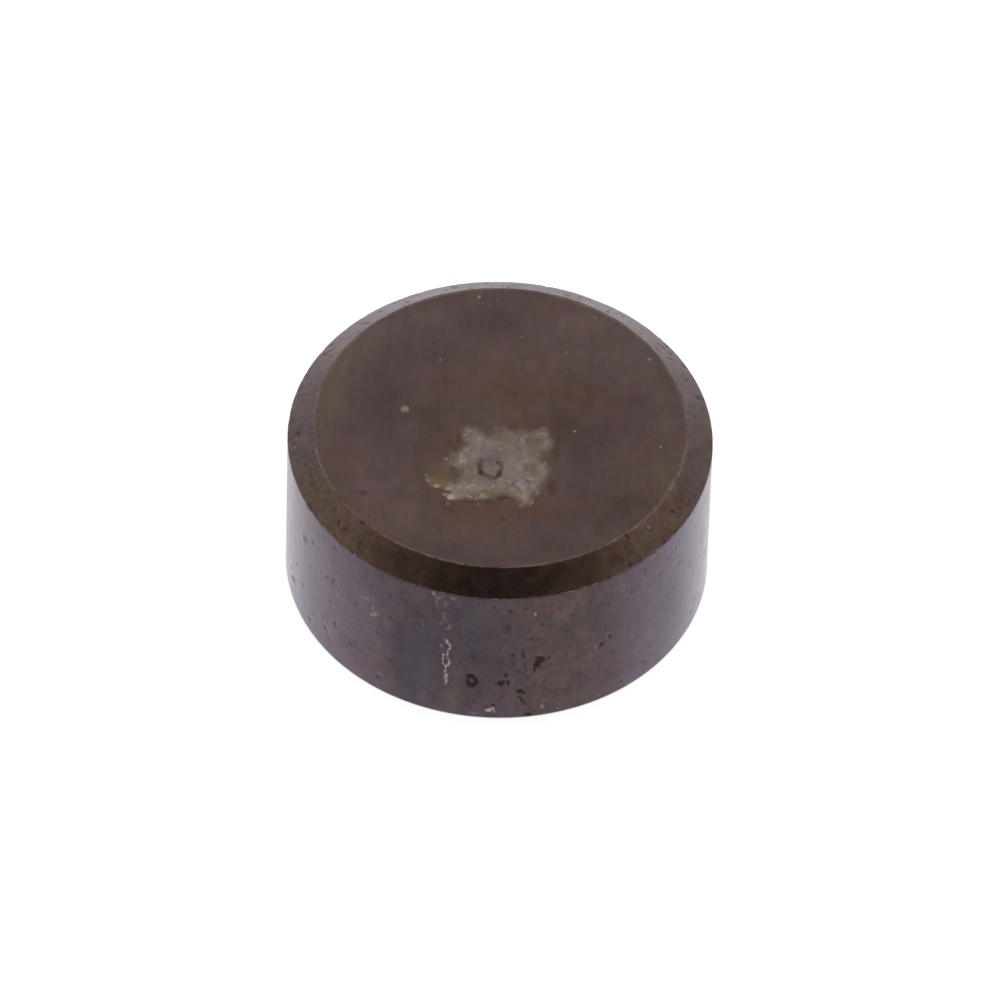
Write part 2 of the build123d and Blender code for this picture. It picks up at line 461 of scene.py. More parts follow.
# The scratch, drawn as strands. Each has its half width, its strength, and the points of its straight runs.
SCRATCH_STRANDS = (
    (2, 20, (-88, 199), (-85, 194)),
    (3.2, 66, (-84, 193), (-82, 187)),
    (2.6, 74, (-78.5, 185), (-75.5, 179), (-78, 172)),
    (2.2, 46, (-78.5, 172), (-80, 166), (-81.5, 158)),
    (2.4, 62, (-88, 155), (-89.5, 148), (-88.5, 140)),
    (1.8, 50, (-88.5, 140), (-87.5, 132), (-85, 122)),
    (2, 44, (-81.5, 156), (-80, 146), (-77, 138)),
    (2.4, 70, (-77, 138), (-79, 129), (-84, 122)),
    (2.1, 66, (-84, 122), (-85, 112), (-84, 101)),
    (2.7, 64, (-80, 102), (-82, 94)),
    (2.4, 70, (-82, 92), (-81.5, 86), (-83, 77)),
    (1.6, 36, (-85, 97), (-86, 88)),
    (1.9, 22, (-103, 295), (-102.5, 280)),
    (1.6, 6, (-100, 278), (-97, 262)),
)

WALL_SLATE = hundredths(
    (-140, 130, 40, 100, 85), (-38, 275, 30, 50, 85), (6, 190, 24, 30, 60), (156, 231, 12, 10, 55),
    (5, 85, 16, 50, 45), (-70, 278, 5, 30, 45), (210, 60, 14, 25, 30), (-85, 190, 50, 30, 30),
    (-42, 160, 16, 110, 60), (-175, 60, 25, 50, 30), (185, 160, 16, 100, 25),
)
WALL_BROWN = hundredths(
    (-62, 125, 12, 40, 60), (-95, 105, 10, 15, 40),
)
WALL_OLIVE = hundredths(
    (-206, 188, 14, 18, 85), (2, 190, 14, 20, 50), (16, 185, 5, 12, 70), (18, 213, 8, 12, 50),
    (-40, 262, 16, 26, 45), (58, 46, 10, 16, 60), (125, 260, 14, 26, 50), (78, 175, 16, 24, 35),
    (-215, 110, 14, 24, 40), (-330, 155, 20, 25, 45), (-290, 135, 16, 20, 30), (-74, 28, 16, 50, 95),
    (60, 90, 12, 12, 40), (-195, 25, 20, 20, 40), (0, 300, 60, 14, 30), (-60, 140, 9, 50, 35),
    (-260, 160, 50, 90, 25), (30, 120, 30, 70, 30),
)
WALL_RED = hundredths(
    (112, 284, 34, 24, 85), (115, 98, 28, 34, 75), (-80, 62, 10, 15, 50), (24, 66, 14, 20, 45),
    (155, 145, 40, 40, 30), (-42, 88, 10, 8, 50), (-235, 55, 50, 40, 40), (220, 90, 30, 70, 35),
    (-430, 120, 35, 70, 35), (135, 40, 40, 30, 30), (-25, 40, 14, 30, 25),
)
WALL_LILAC = hundredths(
    (-120, 70, 24, 55, 25), (215, 130, 20, 50, 18),
)
WALL_SHADE = hundredths(
    (10, 160, 80, 90, 13), (370, 135, 45, 80, 26), (45, 120, 30, 60, 6), (-15, 45, 30, 40, 8),
    (300, 290, 50, 40, 10), (-115, 275, 60, 50, 6),
)

# Marks on the chamfer, in hundredths of a millimetre round its foot from the front, and up the slope

SLOPE_PITS = hundredths(
    (-573, 24, 8, 4, 85, 20), (-548, 15, 3.4, 7, 55, -30), (-488, 30, 7.5, 3.4, 60, 10),
    (-452, 31, 24, 4.2, 50, -6), (-335, 23, 3.6, 4.5, 85, 20), (-316, 22, 5.5, 9, 55, -35),
    (-360, 35, 6, 4.5, 45), (-270, 20, 3, 8, 50), (-293, 53, 10, 2.2, 55, 5), (-400, 2, 8, 2.2, 60),
    (-485, 1, 5, 1.8, 40), (-274, 0, 5, 2.6, 60), (278, 53, 3.4, 5, 85), (326, 40, 7.5, 7.5, 62),
    (394, 29, 5, 11, 68, 35), (412, 21, 7, 3.4, 45, -20), (253, 6, 2.6, 1.8, 70), (262, 22, 9, 3.4, 42),
    (-405, 40, 8, 3, 36, 35), (-245, 30, 6, 4, 40), (-290, 12, 4, 2, 35), (236, 3, 6, 2.2, 60),
    (275, 3, 9, 2.6, 55), (372, 3, 10, 2.2, 50), (418, 2, 4, 2.4, 55), (540, 4, 16, 2.4, 40),
    (166, 40, 2.4, 6, 25, -10), (606, 37, 12, 2, 30, -8), (-880, 30, 6, 12, 38), (-1080, 25, 8, 14, 38),
    (950, 24, 5, 14, 34), (840, 30, 5, 10, 30), (1050, 40, 6, 12, 34),
)
SLOPE_SPECKS = hundredths(
    (330, 41, 3.4, 3.4, 35), (-545, 12, 1.6, 5, 22, -30), (-562, 19, 4, 1.6, 14), (-270, -2, 3.4, 2.8, 28),
)
SLOPE_RUST = hundredths(
    (-235, 10, 18, 14, 60), (-205, 36, 42, 26, 90), (-290, 50, 25, 8, 55), (-335, 45, 35, 12, 15),
    (-360, 35, 10, 6, 30), (-680, 30, 40, 25, 10), (-115, 28, 45, 20, 20), (-50, 15, 30, 15, 30),
    (72, 45, 28, 14, 40), (238, 28, 16, 20, 60), (325, 10, 28, 9, 95), (450, 42, 50, 14, 30),
    (-490, 40, 25, 10, 40), (130, 40, 30, 12, 25), (620, 45, 30, 10, 30), (400, 36, 45, 20, 60),
    (480, 36, 80, 30, 50), (560, 28, 40, 40, 20),
)
SLOPE_OLIVE = hundredths(
    (-450, 10, 35, 10, 90), (-440, 34, 45, 16, 55), (-580, 3, 50, 5, 90), (-265, 25, 25, 25, 50),
    (15, 30, 25, 30, 60), (205, 22, 25, 24, 50), (290, 22, 30, 15, 50), (385, 8, 24, 9, 85),
    (535, 12, 28, 7, 45), (580, 32, 30, 16, 45), (600, 9, 35, 5, 40), (120, 12, 35, 12, 35),
    (-380, 20, 30, 14, 20),
)
SLOPE_SLATE = hundredths(
    (-520, 32, 40, 20, 50), (-580, 42, 30, 14, 20), (330, 36, 24, 10, 30), (-10, 30, 30, 30, 50),
    (470, 16, 50, 14, 15), (-235, 42, 15, 10, 30),
)
# Darker clouds on the chamfer. The first three, round its back, are painted shade that dims its reflection
# there; the others darken it at the front.
SLOPE_SHADE_AND_CLOUDS = hundredths(
    (1080, 28, 90, 60, 45), (1170, 28, 60, 60, 30), (-1140, 28, 90, 60, 45), (-190, 36, 55, 20, 36),
    (130, 20, 36, 30, 28), (170, 38, 36, 18, 28), (-120, 38, 30, 14, 14),
)


def unrolled(profile, azimuth):
    """Places on the unrolled barrel, in millimetres: the way round from the front, to the right, and the way
    up along the profile. That is the height on the wall, and the chamfer's slope goes on above it."""
    length = np.concatenate([[0.0], np.cumsum(np.linalg.norm(np.diff(profile, axis=0), axis=1))])
    foot = np.interp(wall_top, profile[::-1, 1], length[::-1])
    way_up = (wall_top + foot - length) / MM
    way_round = ((azimuth + pi / 2 + pi) % (2 * pi) - pi) * shim_radius / MM
    rows, columns = np.meshgrid(way_up, way_round, indexing="ij")
    return np.stack([columns, rows], axis=-1).reshape(-1, 2)


def mark_face(points):
    """Masks and relief of the upper face: the bare patch, its crest with painted highlights and painted
    shadows, stains, the square imprint with painted shade round it, and the rim with a painted highlight.
    A mask is a distance turned into 0 to 1 by a smooth step, after a rough field has made it uneven."""
    solid = points / MM
    place = solid[:, :2]
    broad = rough_field(solid, 0.45, 4)
    coarse = rough_field(solid, 0.20, 1)
    fine = rough_field(solid, 0.085, 2)
    finest = rough_field(solid, 0.045, 3)
    edge = outline_distance(place, PATCH_OUTLINE) + 0.045 * coarse + 0.050 * fine + 0.025 * finest
    inside = fade(-0.15, 0.055, edge)
    lobe = stain(place, PATCH_LOBE)
    veiled = stain(place, PATCH_VEILS) * (0.75 + 0.45 * coarse + 0.25 * fine)
    bare = inside * unit(1.0 - veiled - 0.80 * lobe)

    # The crest: partly scraped metal, partly painted highlights
    ragged = 0.32 * fine + 0.24 * finest
    crest = spots_mask(place, 1.7 * ragged, CREST_SPOTS)
    crest *= np.clip(0.95 + 0.7 * fine + 0.6 * finest, 0.35, 1.25)
    speckled = np.clip(0.55 + 1.0 * fine + 0.9 * finest, 0.0, 2.2)
    crest = np.maximum(crest, stain(place, CREST_PALE) * speckled * (0.25 + 0.75 * inside))
    # Painted shadows beside the crest and round the patch, which also sink a little
    shadows = spots_mask(place, ragged, PATCH_SHADOWS)

    # Rust in a halo along the patch's outline, strongest at the front, and in stains of its own
    halo = fade(0.0, 0.22, np.abs(edge - 0.03)) * (0.50 + 0.50 * coarse + 0.30 * fine)
    low = fade(-1.6, -1.1, place[:, 1])
    rust = (0.12 + 0.38 * low) * halo + stain(place, FACE_RUST) * (1.0 + 0.5 * broad + 0.3 * coarse)

    # The dark line round three sides of the imprint, and a faint one on the fourth: painted shade on its
    # walls
    dark_ring = fade(0.018, 0.082, line_distance(place, RING_DARK) + 0.018 * fine + 0.012 * finest)
    dark_ring *= 0.62 + 0.16 * coarse + stain(place, RING_CORNERS)
    faint_ring = 0.30 * fade(0.006, 0.045, line_distance(place, RING_FAINT) + 0.018 * fine)

    # Depth under the imprint's square mouth, along walls that lean in, and deepest at the front
    turned = np.array([[cos(imprint_turn), -sin(imprint_turn)], [sin(imprint_turn), cos(imprint_turn)]])
    across = (points[:, :2] - np.array(imprint_place)) @ turned
    from_mouth = imprint_side / 2 - np.abs(across).max(axis=1)
    sunk = np.clip(from_mouth / tan(imprint_wall_angle), 0.0, imprint_depth)
    sunk *= 0.5 - 0.3 * smooth_step(-0.5 * imprint_side, 0.5 * imprint_side, across[:, 1])

    # A bright ring along the face's rim: wear, and partly a painted highlight on the rounded edge
    rim = np.hypot(points[:, 0], points[:, 1]) > land_edge - 1.5 * RIM_MARGIN
    rim_wear_and_highlight = np.where(rim, unit(0.06 + 0.05 * broad + 0.05 * coarse), 0.0)

    masks = {
        "bare": bare,
        "cool": stain(place, PATCH_CORE),
        "bright": np.maximum(crest, rim_wear_and_highlight),
        "slate": stain(place, FACE_SLATE) * (0.85 + 0.25 * coarse),
        "pale": stain(place, FACE_PALE) * (0.85 + 0.35 * coarse),
        "brown": stain(place, FACE_BROWN) * (0.85 + 0.30 * coarse),
        "olive": unit(0.55 * lobe + stain(place, FACE_OLIVE)) * (0.85 + 0.30 * coarse),
        "rust": unit(rust) * (1.0 - 0.85 * bare),
        # Here the grime mask holds only painted shade: the line round the imprint and the shadows by the
        # crest
        "grime_and_shade": unit(np.maximum(dark_ring, faint_ring) + shadows),
    }
    worn_away = BARE_DEPTH * bare * (1.0 + 0.7 * fine + 0.6 * finest)
    return masks, -sunk + MM * (CREST_HEIGHT * crest - SHADOW_DEPTH * shadows - worn_away)


def random_marks(top, slope, half_round):
    """Small pits and rim chips at random, as rows for spots_mask in millimetres. The pits of the first kind
    stay off the front, and lean outwards at the top, more so further round."""
    draw = np.random.default_rng(7)
    pits, chips = [], []
    for _ in range(RANDOM_PITS):
        x, y = draw.uniform(-half_round, half_round), draw.uniform(0.05, top + slope)
        size = 0.022 + 0.034 * draw.random() ** 2
        size *= 0.72 if y > top else 1.0
        length = size * draw.uniform(1.2, 2.6)
        turn = 38 * sin(x * MM / shim_radius) + draw.uniform(-12, 12)
        strength = 0.14 + 0.42 * draw.random() ** 2
        in_front = -2.7 < x < 2.3 if y < top else -6.0 < x < 6.4
        if not in_front:
            pits.append((x, y, size, length, strength, turn))
    for _ in range(FRONT_SPECKS):
        size = 0.014 + 0.022 * draw.random()
        x, y = draw.uniform(-2.7, 2.5), draw.uniform(0.05, top)
        length, turn = size * draw.uniform(1.0, 2.0), draw.uniform(-25, 25)
        pits.append((x, y, size, length, draw.uniform(0.15, 0.45), turn))
    for _ in range(SLOPE_PITS_AT_RANDOM):
        way = draw.uniform(-5.9, half_round)
        size = 0.017 + 0.028 * draw.random() ** 2
        x, y = way if way > 6.2 or way < 0 else -way - 6.2, top + slope * draw.random()
        length, turn = size * draw.uniform(1.0, 2.2), draw.uniform(-40, 40)
        strength = (0.18 if -6.2 < x < 6.2 else 0.70) * draw.uniform(0.4, 1.2)
        pits.append((x, y, size, length, strength, turn))
    for _ in range(RIM_CHIPS):
        x, y = draw.uniform(-half_round, half_round), top + draw.uniform(-0.030, 0.030)
        size = 0.018 + 0.040 * draw.random() ** 2
        turn = draw.uniform(-20, 20)
        chips.append((x, y, size * 1.6, size * 0.8, draw.uniform(0.2, 0.8), turn))
    return pits, chips


def mark_barrel(points, place):
    """Masks and relief of the wall and the chamfer: pits, stains, painted sheen on the wall's sides, painted
    shade at the chamfer's back, the groove of the scratch, and the chipped and worn rims with a painted
    highlight along the land. Stains of the wall are faded out above its top."""
    solid = points / MM
    fine = rough_field(solid, 0.075, 11)
    finest = rough_field(solid, 0.042, 12)
    coarse = rough_field(solid, 0.20, 14)
    broad = rough_field(solid, 0.80, 13)
    stripes = rough_field(solid * (1.0, 1.0, 0.16), 0.10, 15)
    ragged = 0.34 * fine + 0.22 * finest
    top = wall_top / MM
    slope = chamfer_slope / MM
    slope_place = place - (0.0, top)
    way_round, height = place.T
    aside = np.abs(way_round)

    scattered, chips = random_marks(top, slope, pi * shim_radius / MM)
    pits = spots_mask(place, ragged, [*WALL_PITS, *scattered])
    pits = np.maximum(pits, spots_mask(slope_place, ragged, SLOPE_PITS))
    chipped = spots_mask(place, ragged, chips)
    groove = fade(0.008, 0.045, line_distance(place, SCRATCH_GROOVE) + 0.010 * fine)

    # Where a place is: on the wall or the chamfer, in front, at the left or the right, or on the hidden half
    on_slope = smooth_step(top - 0.004, top + 0.010, height)
    on_wall = 1.0 - on_slope
    front = fade(2.6, 5.4, aside)
    left = smooth_step(1.6, 2.7, -way_round + 0.20 * coarse)
    right = smooth_step(1.8, 3.0, way_round + 0.20 * coarse)
    hidden = smooth_step(4.3, 5.7, aside)
    near_top = smooth_step(2.1, 2.9, height)
    near_floor = fade(0.05, 0.45, height)

    brown = smooth_step(0.15, 0.60, way_round + 0.15 * coarse)
    brown *= fade(1.6, 2.6, way_round + 0.20 * coarse)
    brown = np.maximum(brown, stain(place, WALL_BROWN))
    # The lilac towards the left and right is partly a lilac tint and partly painted sheen where the wall
    # turns away, faded out on the hidden half
    lilac = 0.80 * smooth_step(2.9, 4.4, way_round)
    lilac += 0.62 * smooth_step(3.4, 4.4, -way_round) * (1.0 - near_top)
    lilac *= fade(4.2, 5.3, aside)
    lilac += stain(place, WALL_LILAC)
    hidden_brown = smooth_step(-0.30, 0.55, rough_field(solid, 1.5, 16) + 0.25 * coarse)
    hidden_olive = 0.5 * smooth_step(0.10, 0.60, rough_field(solid, 0.9, 17))
    hidden_slate = 0.8 * smooth_step(-0.10, 0.60, rough_field(solid, 1.2, 18))
    mottled = 0.45 * smooth_step(0.25, 1.0, 0.6 * coarse + 0.5 * broad + 0.35 * fine)
    slate = np.maximum(stain(place, WALL_SLATE), hidden * hidden_slate)
    brown = np.maximum(brown, hidden * hidden_brown)
    olive = np.maximum(stain(place, WALL_OLIVE), hidden * hidden_olive)
    slope_rust = mottled * on_slope + stain(slope_place, SLOPE_RUST)
    clouded = 0.9 + 0.2 * coarse
    masks = {
        "slate": unit(on_wall * slate + stain(slope_place, SLOPE_SLATE)) * clouded,
        "brown": unit(on_wall * brown + front * on_slope) * clouded,
        "olive": unit(on_wall * olive + stain(slope_place, SLOPE_OLIVE)) * (0.85 + 0.3 * coarse),
        "rust": unit(on_wall * stain(place, WALL_RED) + slope_rust) * clouded,
        "cool": on_wall * unit(lilac),
    }
    # Painted sheen: the wall is paler towards its left and right, less so on the hidden half, and a lighter
    # band along its foot is a painted reflection of the bright table
    side = np.maximum(left, right) * (1.0 - 0.75 * hidden) + 0.30 * near_floor
    side *= 0.80 - 0.20 * near_top + 0.16 * broad + 0.08 * stripes
    streaked = 0.85 + 0.20 * coarse + 0.30 * stripes
    masks["pale"] = unit(on_wall * side + on_slope * (1.0 - front) * streaked)

    # Grime lies in the pits and chips and in a line under the chamfer's foot. Soft clouds darken the wall,
    # and painted shade darkens the chamfer's back.
    under_foot = on_wall * fade(0.004, 0.045, top - height) * (0.36 + 0.20 * fine)
    clouds = on_slope * stain(slope_place, SLOPE_SHADE_AND_CLOUDS) + on_wall * stain(place, WALL_SHADE)
    masks["grime_and_shade"] = unit(pits + 0.40 * chipped * (0.5 + 0.5 * fine) + under_foot + clouds)
    masks["uneven"] = 0.4 * masks["brown"] + 0.10 * on_slope * smooth_step(1.2, 2.4, -way_round)

    # Bright metal shows along the land's rim and the chamfer's foot, and in a few specks. Along the land's
    # rim it is partly a painted highlight line on the rounded edge.
    at_land = fade(0.0, 0.030, np.abs(height - (top + slope)))
    at_foot = fade(0.004, 0.024, np.abs(height - top + 0.004))
    back = smooth_step(6.5, 8.5, aside)
    worn = at_land * unit(0.09 + 0.10 * back + 0.06 * broad + 0.10 * coarse + 0.16 * fine)
    worn += at_foot * smooth_step(0.0, 1.0, 0.7 * fine + 0.5 * finest + 0.3 * coarse) * 0.26
    specks = np.maximum(spots_mask(place, ragged, WALL_SPECKS), spots_mask(slope_place, ragged, SLOPE_SPECKS))
    masks["bright"] = unit(np.maximum(worn, specks))
    return masks, -MM * (PIT_DEPTH * pits**2 + GROOVE_DEPTH * groove + CHIP_DEPTH * chipped)


def build_shim():
    """The whole disc as one closed surface: the upper face's grid, a strip to the barrel, the barrel as its
    profile carried round the axis, and the lower face as rings that close on its centre. The marks then move
    its points along the surface's own direction by their relief."""
    face = face_grid(FACE_CELLS, DENSE_CELLS, DENSE_HALF, DENSE_CENTRE)
    side = FACE_CELLS + 1
    face_points = np.concatenate([face.reshape(-1, 2), np.full((side * side, 1), shim_thickness)], axis=1)
    # The face's outer ring, anticlockwise from the corner at -135 degrees
    number = np.arange(side * side).reshape(side, side)
    edge = np.concatenate([number[:-1, 0], number[-1, :-1], number[:0:-1, -1], number[0, :0:-1]])
    edge_angle = radians(-135.0) + 2 * pi * np.arange(len(edge)) / len(edge)
    shift = int(np.argmin(np.abs((edge_angle + pi) % (2 * pi))))
    edge, edge_angle = np.roll(edge, -shift), np.roll((edge_angle + pi) % (2 * pi) - pi, -shift)

    profile = barrel_profile()
    azimuth = barrel_azimuths(COLUMNS)
    barrel = carried_round(profile[:, :1], profile[:, 1:], azimuth)
    barrel_start = side * side
    along = np.gradient(profile, axis=0)
    slope = np.stack([-along[:, 1], along[:, 0]], axis=1) / np.linalg.norm(along, axis=1)[:, None]
    barrel_out = carried_round(slope[:, :1], slope[:, 1:], azimuth)

    lower_azimuth = -pi + 2 * pi * np.arange(LOWER_COLUMNS) / LOWER_COLUMNS
    lower_rings = np.linspace(shim_radius - lower_rim_radius - 0.03 * MM, 0.4 * MM, 8)[:, None]
    lower = carried_round(lower_rings, 0 * lower_rings, lower_azimuth)
    lower_start = barrel_start + len(barrel)
    pole = lower_start + len(lower)
    last_ring = pole - LOWER_COLUMNS + np.arange(LOWER_COLUMNS)
    pole_fan = np.stack([last_ring, np.full(LOWER_COLUMNS, pole), np.roll(last_ring, -1)], axis=-1)

    points = np.concatenate([face_points, barrel, lower, [[0.0, 0.0, 0.0]]])
    upward = np.tile((0.0, 0.0, 1.0), (side * side, 1))
    downward = np.tile((0.0, 0.0, -1.0), (len(lower) + 1, 1))
    outward = np.concatenate([upward, barrel_out, downward])
    quads = np.concatenate([
        grid_faces(side, side, 0, False),
        grid_faces(len(profile), COLUMNS, barrel_start, True),
        grid_faces(len(lower_rings), LOWER_COLUMNS, lower_start, True),
    ])
    first_row = barrel_start + np.arange(COLUMNS)
    last_row = first_row + (len(profile) - 1) * COLUMNS
    triangles = np.concatenate([
        ring_strip(edge, edge_angle, first_row, azimuth),
        ring_strip(last_row, azimuth, lower_start + np.arange(LOWER_COLUMNS), lower_azimuth),
        pole_fan,
    ])

    masks = {name: np.zeros(len(points)) for name in MASKS}
    relief = np.zeros(len(points))
    on_face, on_barrel = slice(0, barrel_start), slice(barrel_start, lower_start)
    for part, (part_masks, part_relief) in (
        (on_face, mark_face(points[on_face])),
        (on_barrel, mark_barrel(points[on_barrel], unrolled(profile, azimuth))),
    ):
        relief[part] = part_relief
        for name, values in part_masks.items():
            masks[name][part] = values
    piece = put_mesh("valve_shim_skin", points + outward * relief[:, None], quads, triangles)
    for name, values in masks.items():
        attribute = piece.data.attributes.new(name, "FLOAT", "POINT")
        attribute.data.foreach_set("value", values.astype(np.float32))

    # Each face of the mesh takes the finish of its zone: upper face, chamfer, wall or lower face.
    middle = np.empty(len(piece.data.polygons) * 3, np.float32)
    piece.data.polygons.foreach_get("center", middle)
    middle = middle.reshape(-1, 3)
    across = np.hypot(middle[:, 0], middle[:, 1])
    zone = np.full(len(middle), 2)
    zone[middle[:, 2] > wall_top - 0.004 * MM] = 1
    zone[(across < land_radius - 0.008 * MM) & (middle[:, 2] > wall_top)] = 0
    zone[(across < shim_radius - lower_rim_radius) & (middle[:, 2] < wall_top / 2)] = 3
    piece.data.polygons.foreach_set("material_index", zone.astype(np.int32))
    return piece


# Nodes. A colour is written as it shows on a screen, from 0 to 255.

COLOUR_LOW, COLOUR_HIGH, COLOUR_OUT = 6, 7, 2
MIDDLE_VECTOR = (0.5, 0.5, 0.5)


def tone(red, green, blue):
    """Linear colour of a screen colour: ((c + 0.055) / 1.055) to the power 2.4."""
    share = (np.array((red, green, blue)) / 255.0 + 0.055) / 1.055
    return (*(share**2.4), 1.0)


def feed(tree, socket, value):
    """Links a socket to another socket, or sets it to a plain value."""
    if isinstance(value, bpy.types.NodeSocket):
        tree.links.new(value, socket)
    else:
        socket.default_value = value


def add_node(tree, kind, inputs=(), **settings):
    """Adds a node with its settings, and feeds its inputs, each by its name or its number."""
    node = tree.nodes.new(kind)
    for name, value in settings.items():
        setattr(node, name, value)
    for label, value in dict(inputs).items():
        feed(tree, node.inputs[label], value)
    return node


def compute(tree, operation, *values, clamp=False):
    node = add_node(tree, "ShaderNodeMath", enumerate(values), operation=operation, use_clamp=clamp)
    return node.outputs[0]


def times(tree, first, second, clamp=False):
    return compute(tree, "MULTIPLY", first, second, clamp=clamp)


def times_plus(tree, value, factor, more, clamp=False):
    return compute(tree, "MULTIPLY_ADD", value, factor, more, clamp=clamp)


def compute_vector(tree, operation, *values, output=0):
    return add_node(tree, "ShaderNodeVectorMath", enumerate(values), operation=operation).outputs[output]


def scaled(tree, vector, factor):
    return add_node(tree, "ShaderNodeVectorMath", {0: vector, "Scale": factor}, operation="SCALE").outputs[0]


def mix_colour(tree, factor, low, high):
    inputs = {0: factor, COLOUR_LOW: low, COLOUR_HIGH: high}
    return add_node(tree, "ShaderNodeMix", inputs, data_type="RGBA").outputs[COLOUR_OUT]


def spread(tree, value, low, high, to_low=0.0, to_high=1.0):
    """Turns the values between low and high into to_low to to_high, with soft ends."""
    inputs = {"From Min": low, "From Max": high, "To Min": to_low, "To Max": to_high, "Value": value}
    return add_node(tree, "ShaderNodeMapRange", inputs, interpolation_type="SMOOTHSTEP").outputs["Result"]


def noise(tree, place, spacing, detail=2.0, roughness=0.5, output="Fac"):
    """Noise whose largest blots are about the spacing apart, in millimetres."""
    inputs = {"Vector": place, "Scale": 1.0 / spacing, "Detail": detail, "Roughness": roughness}
    return add_node(tree, "ShaderNodeTexNoise", inputs).outputs[output]


def noise_vector(tree, place, spacing, detail=2.0, roughness=0.5):
    """Noise of three numbers at once, each from about -0.5 to 0.5."""
    colour = noise(tree, place, spacing, detail, roughness, output="Color")
    return compute_vector(tree, "SUBTRACT", colour, MIDDLE_VECTOR)


def strongest(tree, masks):
    total = masks[0]
    for other in masks[1:]:
        total = compute(tree, "MAXIMUM", total, other)
    return total


def mask(tree, name):
    """A mask that the mesh carries at its points."""
    return add_node(tree, "ShaderNodeAttribute", attribute_name=name).outputs["Fac"]


def new_group(name, inputs, outputs):
    """A node group with named sockets. Returns it with the group's input sockets and its output node's."""
    group = bpy.data.node_groups.new(name, "ShaderNodeTree")
    for label, kind, value in inputs:
        socket = group.interface.new_socket(label, in_out="INPUT", socket_type="NodeSocket" + kind)
        if value is not None:
            socket.default_value = value
    for label, kind in outputs:
        group.interface.new_socket(label, in_out="OUTPUT", socket_type="NodeSocket" + kind)
    return group, group.nodes.new("NodeGroupInput").outputs, group.nodes.new("NodeGroupOutput").inputs


def use_group(tree, group, **values):
    return add_node(tree, "ShaderNodeGroup", values, node_tree=group).outputs


def scattered_dots_group():
    """Small uneven dots at random places: the distance to the nearest random point, over a radius that
    differs from dot to dot, with a share of the dots left out."""
    group, given, result = new_group(
        "scattered_dots",
        [
            ("Place", "Vector", None), ("Spacing", "Float", 0.3), ("Size", "Float", 0.2),
            ("Share", "Float", 0.5),
        ],
        [("Mask", "Float")],
    )
    place = scaled(group, given["Place"], compute(group, "DIVIDE", 1.0, given["Spacing"]))
    wobble = noise_vector(group, place, 0.25)
    cell = add_node(group, "ShaderNodeTexVoronoi", {"Scale": 1.0}, feature="F1")
    feed(group, cell.inputs["Vector"], compute_vector(group, "ADD", place, scaled(group, wobble, 0.28)))
    chance = add_node(group, "ShaderNodeSeparateColor", {0: cell.outputs["Color"]})
    relative_size = times_plus(group, chance.outputs[0], 0.75, 0.25)
    radius = times(group, given["Size"], relative_size)
    near = compute(group, "DIVIDE", cell.outputs["Distance"], radius)
    dot = spread(group, near, 0.35, 1.05, 1.0, 0.0)
    kept = compute(group, "LESS_THAN", chance.outputs[1], given["Share"])
    strength = times_plus(group, chance.outputs[2], 0.7, 0.3)
    feed(group, result["Mask"], times(group, times(group, dot, kept), strength))
    return group


def scored_line_group():
    """Distance from a place to a straight line between two points: from the place to its foot on the line,
    where the foot's share of the line is held between 0 and 1."""
    group, given, result = new_group(
        "scored_line", [("Place", "Vector", None), ("Start", "Vector", None), ("End", "Vector", None)],
        [("Distance", "Float")],
    )
    run = compute_vector(group, "SUBTRACT", given["End"], given["Start"])
    gone = compute_vector(group, "SUBTRACT", given["Place"], given["Start"])
    length = compute_vector(group, "DOT_PRODUCT", run, run, output=1)
    reached = compute_vector(group, "DOT_PRODUCT", gone, run, output=1)
    share = compute(group, "DIVIDE", reached, length, clamp=True)
    foot = scaled(group, run, share)
    feed(group, result["Distance"], compute_vector(group, "DISTANCE", gone, foot, output=1))
    return group


def uneven_tone_group():
    """A colour made uneven: it is multiplied by 1, plus a share of cloudy and of fine noise in brightness,
    plus a share of noise in hue."""
    group, given, result = new_group(
        "uneven_tone",
        [
            ("Colour", "Color", None), ("Place", "Vector", None), ("Spacing", "Float", 0.4),
            ("Light", "Float", 0.5), ("Grain", "Float", 0.3), ("Hue", "Float", 0.1),
        ],
        [("Colour", "Color"), ("Cloud", "Float")],
    )
    place = scaled(group, given["Place"], compute(group, "DIVIDE", 1.0, given["Spacing"]))
    cloud = noise(group, place, 1.0, 2.0, 0.60)
    grain = noise(group, place, 0.30, 2.0, 0.60)
    lighter = times(group, compute(group, "SUBTRACT", cloud, 0.5), given["Light"])
    lighter = times_plus(group, compute(group, "SUBTRACT", grain, 0.5), given["Grain"], lighter)
    hues = noise_vector(group, place, 0.9, 3.0, 0.6)
    grey = add_node(group, "ShaderNodeCombineXYZ")
    for socket in grey.inputs:
        feed(group, socket, compute(group, "ADD", lighter, 1.0))
    hues = compute_vector(group, "MULTIPLY", hues, (0.8, 1.2, 0.8))
    factor = compute_vector(group, "ADD", grey.outputs[0], scaled(group, hues, given["Hue"]))
    feed(group, result["Colour"], compute_vector(group, "MULTIPLY", given["Colour"], factor))
    feed(group, result["Cloud"], cloud)
    return group


dots_group = scattered_dots_group()
line_group = scored_line_group()
tone_group = uneven_tone_group()

# The bright colour of scraped metal, also used for the painted highlights
SCRAPED_AND_HIGHLIGHT_TONE = tone(188, 174, 168)
SCRATCH_TONE = tone(168, 156, 158)
SPECK_TONE = tone(168, 158, 140)
BARE_STAINS = (
    ("slate", (108, 102, 94), 0.65), ("brown", (113, 95, 89), 0.85), ("cool", (116, 104, 106), 0.80),
    ("olive", (115, 101, 68), 0.90),
)

# How strongly grime and painted shade, shiny dots and grinding lines change the colour
GRIME_AND_SHADE_COVER = 0.92
SHINY_COVER = 0.30
LINE_SHADE = 0.62

